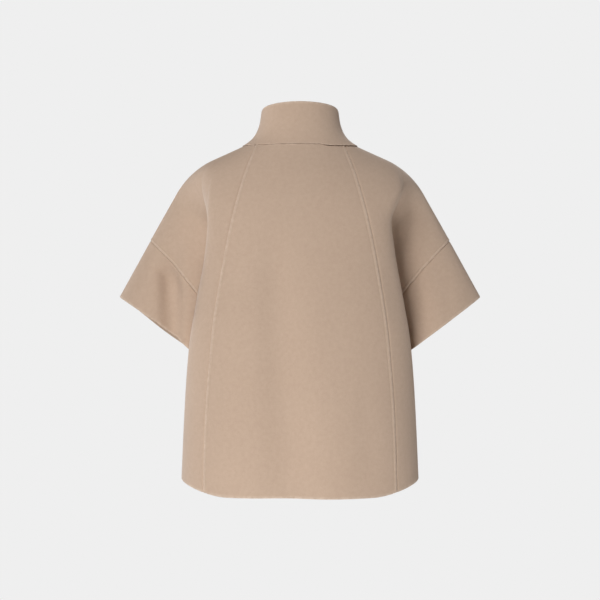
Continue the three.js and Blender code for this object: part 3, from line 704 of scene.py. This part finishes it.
def front(name, side):
    rows = []
    for row in body_rows:
        edge = (CLOTH / 2 - FRONT_LAP) / body_row("front", side, row).wide
        line, _ = side_line("front", side, row, edge, 0.0)
        rows.append(spaced(line, np.linspace(0, length_of(line), FRONT_COLUMNS)))
    points = np.stack(rows)
    folds = creases("front", points) + over_lap(points) * (side > 0)
    body = patch(points, folds, folds - CLOTH)
    shoulder = shoulder_patch("front", side, UNDER)
    strip = strip_patch(points[len(upper_rows) - 1 :, -1], UNDER)
    made = cloth_object(name, [body, shoulder, strip])
    stitch_rows.append((made, armhole_stitches(shoulder)))
    return made


for name, side in (("front_left", -1), ("front_right", 1)):
    pieces[name] = front(name, side)

# %% [markdown]
# ## Half sleeves
# A sleeve is a wide tube that is set under the welt of the dropped armhole. Its own seam runs under the arm,
# where the cloth passes between body and sleeve. A bent cylinder would come close, but here the rows of the
# shoulder go on into the sleeve, so that the two fit at the seam.

# %% Half sleeves
SLEEVE_COLUMNS, SLEEVE_ROWS, BRIDGE_COLUMNS = 52, 26, 8
UNDERARM_LAP = 0.9  # where the sleeve starts at the underarm, which has no room for a lap
UNDERARM_FADE = (6.0, 20.0)
OVERARM_FADE = (2.0, 22.0)
KEPT_APART = 0.01  # so that rows drawn together at the underarm stay in order


def sleeve_row(half, side, step):
    """Points from underarm to overarm, a step in millimetres past the armhole seam."""
    if step >= 0:
        line = sleeve_points(half, side, step / SLEEVE_LENGTH, quarter_turn)
    else:
        line = shoulder_points(half, side, 1 + step / ARMHOLE_RUN, quarter_turn)
    return spaced(line, np.linspace(0, length_of(line), SLEEVE_COLUMNS))


def round_arm(side, step):
    back, front_half = (sleeve_row(half, side, step) for half in ("back", "front"))
    bridge = np.linspace(front_half[0], back[0], BRIDGE_COLUMNS + 2)[1:-1]
    return np.concatenate([back, front_half[-2::-1], bridge, back[:1]])


def sleeve(name, side):
    to_cuff = np.linspace(SEAM_REACH, SLEEVE_LENGTH - CLOTH / 2, SLEEVE_ROWS)[1:]
    steps = np.r_[UNDER_STEPS, to_cuff]
    short = np.where(steps < UNDERARM_LAP, UNDERARM_LAP + KEPT_APART * (steps - steps[0]), steps)
    lapped, unlapped = (np.stack([round_arm(side, step) for step in line]) for line in (steps, short))
    underarm = lapped[:, None, -2 - BRIDGE_COLUMNS :]
    from_underarm = np.linalg.norm(lapped[:, :, None] - underarm, axis=-1).min(-1)
    share = ease(from_underarm, *UNDERARM_FADE)
    points = mix(unlapped, lapped, share[..., None])
    back, front_half = points[:, :SLEEVE_COLUMNS], points[:, SLEEVE_COLUMNS:]
    behind = creases("back", back) + creases("back arm", back)
    folds = np.concatenate([behind, creases("front", front_half)], 1)
    folds *= ease(np.abs(points[..., 1] - back[:, -1:, 1]), *OVERARM_FADE)
    step = mix(short[:, None], steps[:, None], share)
    cloth = patch(points, UNDER_OUTER(step) + folds, UNDER_INNER(step) + folds)
    return cloth_object(name, [cloth], points.mean((0, 1)))


for name, side in (("sleeve_left", -1), ("sleeve_right", 1)):
    pieces[name] = sleeve(name, side)

# %% [markdown]
# ## Funnel collar
# The collar is one strip of cloth that stands round the neck and laps over itself in front. Its lower edge
# is turned under and lies on the body like a lip, which stands off a little more on the right half of the
# back. A spun profile would be round and level, but this collar is wider than it is deep and lower in front,
# so its rings come from a table.

# %% Rings of the collar
COLLAR_RINGS = [  # share of the height, half-width, depth behind, depth in front
    (0, 104.5, 75, 82), (0.1, 96, 72.5, 79.5), (0.22, 88, 70, 76.5),
    (0.42, 80, 67, 73), (0.68, 74.5, 64.5, 70), (1, 71.5, 62, 67),
]
COLLAR_RISE = {"back": 77.5, "side": 59.0, "front": 84.0}
COLLAR_LEVEL = {"back": 0.58, "front": 2.0}
ring_half_width, ring_back, ring_front = (
    through([(ring[0], ring[k]) for ring in COLLAR_RINGS]) for k in (1, 2, 3)
)


def collar_ring(angles, height):
    behind = np.cos(angles) > 0
    facing = np.abs(np.cos(angles))

    def by_half(back, front_half):
        return np.where(behind, back, front_half)

    neck_z = by_half(NECK_Z["back"], NECK_Z["front"])
    curve = by_half(NECK_CURVE["back"], NECK_CURVE["front"])
    level = by_half(COLLAR_LEVEL["back"], COLLAR_LEVEL["front"])
    rise = mix(COLLAR_RISE["side"], by_half(COLLAR_RISE["back"], COLLAR_RISE["front"]), facing**level)
    y = by_half(-ring_back(height), ring_front(height)) * facing
    z = neck_z * (1 - np.abs(np.sin(angles)) ** curve) + rise * height
    return np.stack([ring_half_width(height) * np.sin(angles), y, z], -1)


print("collar", 2 * COLLAR_RINGS[-1][1], "mm wide at its top")

# %% Funnel collar
COLLAR_COLUMNS, COLLAR_ROWS, LIP_ROWS = 190, 26, 7
LIP_DROP, LIP_STAND = (0.8, 4.6), (1.7, 2.9)  # left, right
LIP_STEP, LIP_END = (34, 50), (94, 104)
LIP_CLOTH = 1.5
LIP_THICKENS = (0.02, 0.12)  # shares of the height
LIP_FADE = 6
COLLAR_CROWDING = 1.3  # rows lie closer together at the lip
NEARBY_ROW, NEARBY_ANGLE = 1 / 12, 0.01  # steps for finding slopes at the neck


def neck_points(row, angles):
    points = np.zeros((len(angles), 3))
    for half, here in (("back", np.cos(angles) > 0), ("front", np.cos(angles) <= 0)):
        r = body_row(half, 1, row)
        points[here] = placed(half, 1, on_dome(r, r.outer[0] * np.sin(angles[here])))
    return points


def unit(vectors):
    return vectors / np.linalg.norm(vectors, axis=-1, keepdims=True)


def collar(name):
    overlap = math.asin((FRONT_LAP - CLOTH / 2) / COLLAR_RINGS[-1][1])
    angles = np.linspace(-math.pi - overlap, math.pi + overlap, COLLAR_COLUMNS)
    edge = neck_points(0.0, angles)
    up = unit(edge - neck_points(NEARBY_ROW, angles))
    round_neck = neck_points(0.0, angles + NEARBY_ANGLE) - neck_points(0.0, angles - NEARBY_ANGLE)
    out = unit(np.cross(round_neck, up))
    right = ease(edge[:, 0], *LIP_STEP) * (1 - ease(edge[:, 0], *LIP_END)) * (np.cos(angles) > 0)
    drop, stand = (mix(*sizes, right)[:, None] for sizes in (LIP_DROP, LIP_STAND))
    top_end = 1 - CLOTH / 2 / COLLAR_RISE["back"]
    heights = top_end * np.linspace(0, 1, COLLAR_ROWS) ** COLLAR_CROWDING
    rows = [edge - up * drop * share + out * stand for share in np.linspace(1, 0, LIP_ROWS)[:-1]]
    rows += [collar_ring(angles, height) + out * stand * (1 - height) ** LIP_FADE for height in heights]
    points = np.stack(rows)
    height_of_row = np.r_[np.zeros(LIP_ROWS - 1), heights]
    thick = mix(LIP_CLOTH, CLOTH, ease(height_of_row, *LIP_THICKENS))[:, None]
    lift = over_lap(points) * (angles > math.pi / 2)
    return cloth_object(name, [patch(points, lift, lift - thick)])


pieces["collar"] = collar("collar")

# %% [markdown]
# ## Wool
# The cloth is milled and brushed wool: the weave is hidden under a short nap, so the eye gets a matte beige
# with a faint mottle of fibres, and a soft lightness where the nap is seen from the side. Principled BSDF
# with sheen does that. The mottle is drawn coarser than real fibres, which are far below a pixel.

# %% Helpers for materials


def linear(hex_colour):
    channels = [int(hex_colour[k : k + 2], 16) / 255 for k in (1, 3, 5)]
    return [c / 12.92 if c <= 0.04045 else ((c + 0.055) / 1.055) ** 2.4 for c in channels] + [1.0]


def add(tree, kind, settings=None, links=None):
    node = tree.nodes.new(kind)
    for key, value in (settings or {}).items():
        if isinstance(key, int) or key in node.inputs.keys():
            node.inputs[key].default_value = value
        else:
            setattr(node, key, value)
    for key, source in (links or {}).items():
        tree.links.new(source, node.inputs[key])
    return node


def blank_material(name):
    """A new material without nodes, its tree, and the place on the object to draw from."""
    made = bpy.data.materials.new(name)
    made.use_nodes = True
    made.node_tree.nodes.clear()
    return made, made.node_tree, add(made.node_tree, "ShaderNodeTexCoord").outputs["Object"]


# %% Milled wool
NOISES = [(1.6, 3.0), (7.0, 2.0), (110.0, 1.0)]  # size in millimetres, detail: fibre, mottle, cloud
CLOUD_SHARE = 0.45
MOTTLE_SPREAD = 0.8  # the larger, the fainter the mottle
NOISE_RANGE = (0.3, 0.7)
# The last colour lightens edges and welts: worn nap, and partly a painted highlight where they catch the
# light
WOOL_DARK, WOOL_LIGHT, WOOL_WORN_AND_LIT = "#B59C88", "#C6AE9A", "#D6C2B0"
WEAR_AND_HIGHLIGHT_SHARE = (0.15, 0.75)  # of the worn colour on an edge, by the mottle
NAP_STRENGTH, NAP_MM = 0.35, 0.4


def milled_wool():
    made, tree, place = blank_material("milled wool, double-faced")
    grains = []
    for size, detail in NOISES:
        settings = {"Scale": 1 / (size * MM), "Detail": detail}
        grains.append(add(tree, "ShaderNodeTexNoise", settings, {"Vector": place}).outputs["Fac"])
    fibre, mottle, cloud = grains
    fine = add(tree, "ShaderNodeMath", {"operation": "ADD"}, {0: fibre, 1: mottle}).outputs[0]
    settings = {"operation": "MULTIPLY_ADD", 1: CLOUD_SHARE}
    shade = add(tree, "ShaderNodeMath", settings, {0: cloud, 2: fine}).outputs[0]
    middle = 1 + CLOUD_SHARE / 2  # each noise is about a half on average
    spread = {"From Min": middle - MOTTLE_SPREAD, "From Max": middle + MOTTLE_SPREAD}
    share = add(tree, "ShaderNodeMapRange", spread, {"Value": shade}).outputs[0]
    settings = {"data_type": "RGBA", 6: linear(WOOL_DARK), 7: linear(WOOL_LIGHT)}
    nap = add(tree, "ShaderNodeMix", settings, {"Factor": share}).outputs[2]
    # Lighter edges and welts: worn nap, and partly a painted highlight
    worn_and_lit = add(tree, "ShaderNodeAttribute", {"attribute_name": "edge_wear"}).outputs["Fac"]
    settings = dict(zip(("From Min", "From Max", "To Min", "To Max"), NOISE_RANGE + WEAR_AND_HIGHLIGHT_SHARE))
    uneven = add(tree, "ShaderNodeMapRange", settings, {"Value": mottle}).outputs[0]
    wear = add(tree, "ShaderNodeMath", {"operation": "MULTIPLY"}, {0: worn_and_lit, 1: uneven}).outputs[0]
    settings = {"data_type": "RGBA", 7: linear(WOOL_WORN_AND_LIT)}
    colour = add(tree, "ShaderNodeMix", settings, {"Factor": wear, 6: nap}).outputs[2]
    settings = {"Strength": NAP_STRENGTH, "Distance": NAP_MM * MM}
    bump = add(tree, "ShaderNodeBump", settings, {"Height": fine}).outputs["Normal"]
    settings = {"Roughness": 0.95, "Specular IOR Level": 0.2, "Sheen Weight": 0.2, "Sheen Roughness": 0.5}
    links = {"Base Color": colour, "Normal": bump}
    surface = add(tree, "ShaderNodeBsdfPrincipled", settings, links)
    add(tree, "ShaderNodeOutputMaterial", None, {"Surface": surface.outputs["BSDF"]})
    return made


wool = milled_wool()
for piece in pieces.values():
    piece.data.materials.append(wool)
print("finish:", wool.name)

# %% [markdown]
# ## Stitches
# Each welt is held by a row of small stitches in thread of the cloth's own colour, sunk into a shallow
# groove. They could be painted on, but up close each one is a little bead of thread, a touch smoother than
# the wool round it. Geometry Nodes set one bead on every few millimetres of a seam's line, a little uneven,
# and a plain mesh is kept of the result.

# %% Sewing thread
THREAD_DARK, THREAD_LIGHT = "#A89079", "#C4AE9B"
TWIST_MM = 0.5


def sewing_thread():
    made, tree, place = blank_material("polyester sewing thread, twisted")
    twist = add(tree, "ShaderNodeTexNoise", {"Scale": 1 / (TWIST_MM * MM)}, {"Vector": place}).outputs["Fac"]
    settings = {"data_type": "RGBA", 6: linear(THREAD_DARK), 7: linear(THREAD_LIGHT)}
    shade = add(tree, "ShaderNodeMix", settings, {"Factor": twist}).outputs[2]
    settings = {"Roughness": 0.55, "IOR": 1.5, "Sheen Weight": 0.1}
    surface = add(tree, "ShaderNodeBsdfPrincipled", settings, {"Base Color": shade})
    add(tree, "ShaderNodeOutputMaterial", None, {"Surface": surface.outputs["BSDF"]})
    return made


# %% A tree that sews along a line
STITCH_SEED = 7
STITCH_UNEVEN = (0.85, 1.1)
STITCH_SIZES = {"Stitch Spacing": 3.4 * MM, "Stitch Length": 2.5 * MM, "Thread Width": 0.5 * MM}
BEAD_SEGMENTS, BEAD_RINGS = 6, 4


def stitch_tree():
    tree = bpy.data.node_groups.new("row of stitches", "GeometryNodeTree")
    kinds = {"Geometry": "NodeSocketGeometry", "Thread": "NodeSocketMaterial"}
    sockets = {}
    for name in ("Geometry", *STITCH_SIZES, "Thread"):
        kind = kinds.get(name, "NodeSocketFloat")
        sockets[name] = tree.interface.new_socket(name, in_out="INPUT", socket_type=kind).identifier
    tree.interface.new_socket("Geometry", in_out="OUTPUT", socket_type=kinds["Geometry"])
    given = add(tree, "NodeGroupInput").outputs
    line = add(tree, "GeometryNodeMeshToCurve", None, {"Mesh": given["Geometry"]}).outputs[0]
    links = {"Curve": line, "Length": given["Stitch Spacing"]}
    spots = add(tree, "GeometryNodeResampleCurve", {"mode": "LENGTH"}, links).outputs[0]
    ball = {"Segments": BEAD_SEGMENTS, "Rings": BEAD_RINGS, "Radius": 0.5}
    bead = add(tree, "GeometryNodeMeshUVSphere", ball).outputs["Mesh"]
    tangent = add(tree, "GeometryNodeInputTangent").outputs[0]
    turn = add(tree, "FunctionNodeAlignRotationToVector", {"axis": "Z"}, {"Vector": tangent}).outputs[0]
    settings = {"data_type": "FLOAT", "Seed": STITCH_SEED, 2: STITCH_UNEVEN[0], 3: STITCH_UNEVEN[1]}
    uneven = add(tree, "FunctionNodeRandomValue", settings).outputs[1]
    links = {0: given["Stitch Length"], 1: uneven}
    length = add(tree, "ShaderNodeMath", {"operation": "MULTIPLY"}, links).outputs[0]
    width = given["Thread Width"]
    size = add(tree, "ShaderNodeCombineXYZ", None, {"X": width, "Y": width, "Z": length}).outputs[0]
    links = {"Points": spots, "Instance": bead, "Rotation": turn, "Scale": size}
    sewn = add(tree, "GeometryNodeInstanceOnPoints", None, links).outputs[0]
    real = add(tree, "GeometryNodeRealizeInstances", None, {"Geometry": sewn}).outputs[0]
    smooth = add(tree, "GeometryNodeSetShadeSmooth", None, {"Geometry": real}).outputs[0]
    links = {"Geometry": smooth, "Material": given["Thread"]}
    finished = add(tree, "GeometryNodeSetMaterial", None, links).outputs[0]
    add(tree, "NodeGroupOutput", None, {"Geometry": finished})
    return tree, sockets


# %% Sew the seams
def seam_lines():
    points, edges = [], []
    for piece, row in stitch_rows:
        start = len(points)
        points += [piece.closest_point_on_mesh(Vector(at * MM))[1] for at in row]
        edges += [(k, k + 1) for k in range(start, len(points) - 1)]
    mesh = bpy.data.meshes.new("seam lines")
    mesh.from_pydata(points, edges, [])
    return mesh


tree, sockets = stitch_tree()
sewing = bpy.data.objects.new("seam lines", seam_lines())
bpy.context.scene.collection.objects.link(sewing)
modifier = sewing.modifiers.new("sew", "NODES")
modifier.node_group = tree
for name, value in {**STITCH_SIZES, "Thread": sewing_thread()}.items():
    modifier[sockets[name]] = value
evaluated = sewing.evaluated_get(bpy.context.evaluated_depsgraph_get())
stitches = bpy.data.objects.new("seam_stitches", bpy.data.meshes.new_from_object(evaluated))
stitches.data.name = "seam_stitches"
bpy.context.scene.collection.objects.link(stitches)
sewing.modifiers.remove(modifier)
bpy.data.objects.remove(sewing)
print("stitches:", len(stitch_rows), "rows,", len(stitches.data.polygons), "faces")

# %% [markdown]
# ## Hand the pieces to the frame
# Each piece stands for one solid of the frame, which is hidden in its place, and rides on its only body. The
# sizes that the pieces were cut to are listed below and summed.

# %% Flat sizes in metres: width, length, area
CUTS = {
    "back_panel": (0.37, 0.66, 0.186),
    "side_back_left": (0.32, 0.66, 0.1),
    "side_back_right": (0.32, 0.66, 0.1),
    "front_left": (0.42, 0.65, 0.205),
    "front_right": (0.42, 0.65, 0.205),
    "sleeve_left": (0.46, 0.15, 0.047),
    "sleeve_right": (0.46, 0.15, 0.047),
    "collar": (0.62, 0.1, 0.046),
}
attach(stitches, "root")
for name, piece in pieces.items():
    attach(piece, "root")
    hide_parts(name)
print(len(pieces), "sheets,", round(sum(area for _, _, area in CUTS.values()), 3), "m2 of cloth")

# %% [markdown]
# ## Camera, light and floor
# The view is straight on from behind, level with the middle of the cape. An even sky would flatten the form,
# so two soft lights from the left, one low and one high, shape the back. The lights at the sides edge it, and
# one in front keeps the far side from going black.

# %% Camera
VIEW_DISTANCE, VIEW_HEIGHT = 2.2, -0.283
VIEW_WIDTH = 1.11
SENSOR_MM = 36.0
camera = bpy.data.objects.new("camera", bpy.data.cameras.new("camera"))
camera.data.sensor_width = SENSOR_MM
camera.data.lens = SENSOR_MM * VIEW_DISTANCE / VIEW_WIDTH
camera.location = (0, -VIEW_DISTANCE, VIEW_HEIGHT)
camera.rotation_euler = (math.pi / 2, 0, 0)
bpy.context.scene.collection.objects.link(camera)
bpy.context.scene.camera = camera
print("view", VIEW_WIDTH, "m wide")

# %% Light
MIDDLE = Vector((0, 0, -0.3))
LIGHTS = {  # distance, degrees to the right of the camera and up as seen from the cape's middle, size, watts
    "low_key": (1.7, (-15, -24), 0.7, 16.5),
    "high_from_left": (2.2, (-30, 50), 0.9, 28),
    "rim_from_right": (2.0, (95, 20), 0.7, 8.5),
    "low_from_right": (2.0, (70, -20), 0.9, 6.5),
    "rim_from_left": (2.0, (-115, 0), 0.7, 19),
    "fill_in_front": (2.4, (165, 25), 0.9, 20),
}


def soft_box(name, distance, degrees, size, watts):
    right, up = (math.radians(angle) for angle in degrees)
    aside = Vector((math.sin(right) * math.cos(up), -math.cos(right) * math.cos(up), math.sin(up)))
    light = bpy.data.lights.new(name, "AREA")
    light.size, light.energy = size, watts
    made = bpy.data.objects.new(name, light)
    made.location = MIDDLE + distance * aside
    made.rotation_euler = (-aside).to_track_quat("-Z", "Y").to_euler()
    bpy.context.scene.collection.objects.link(made)


for name, settings in LIGHTS.items():
    soft_box(name, *settings)
print(len(LIGHTS), "soft lights")

# %% World and floor
AMBIENT = 0.015
BACKDROP = "#EFEFEF"
world = bpy.data.worlds.new("studio")
bpy.context.scene.world = world
world.use_nodes = True
studio = world.node_tree
studio.nodes.clear()
seen = add(studio, "ShaderNodeLightPath").outputs["Is Camera Ray"]
ambient = add(studio, "ShaderNodeBackground", {"Color": (1, 1, 1, 1), "Strength": AMBIENT})
backdrop = add(studio, "ShaderNodeBackground", {"Color": linear(BACKDROP)})
links = {0: seen, 1: ambient.outputs[0], 2: backdrop.outputs[0]}
sky = add(studio, "ShaderNodeMixShader", None, links)
add(studio, "ShaderNodeOutputWorld", None, {"Surface": sky.outputs[0]})
bpy.context.scene.view_settings.view_transform = "Standard"

FLOOR_Z, FLOOR_RADIUS, FLOOR_SIDES = -1.45, 2.0, 96
FLOOR_COLOUR, FLOOR_ROUGHNESS = "#E6E6E4", 0.9
bpy.ops.mesh.primitive_circle_add(
    vertices=FLOOR_SIDES, radius=FLOOR_RADIUS, fill_type="NGON", location=(0, 0, FLOOR_Z)
)
floor = bpy.context.object
floor.name = "floor"
# Pale and matte, so that no sharp light comes up from below
paint = bpy.data.materials.new("matt floor paint")
paint.use_nodes = True
coat = paint.node_tree.nodes["Principled BSDF"].inputs
coat["Base Color"].default_value = linear(FLOOR_COLOUR)
coat["Roughness"].default_value = FLOOR_ROUGHNESS
floor.data.materials.append(paint)
print("floor", FLOOR_RADIUS, "m in radius")
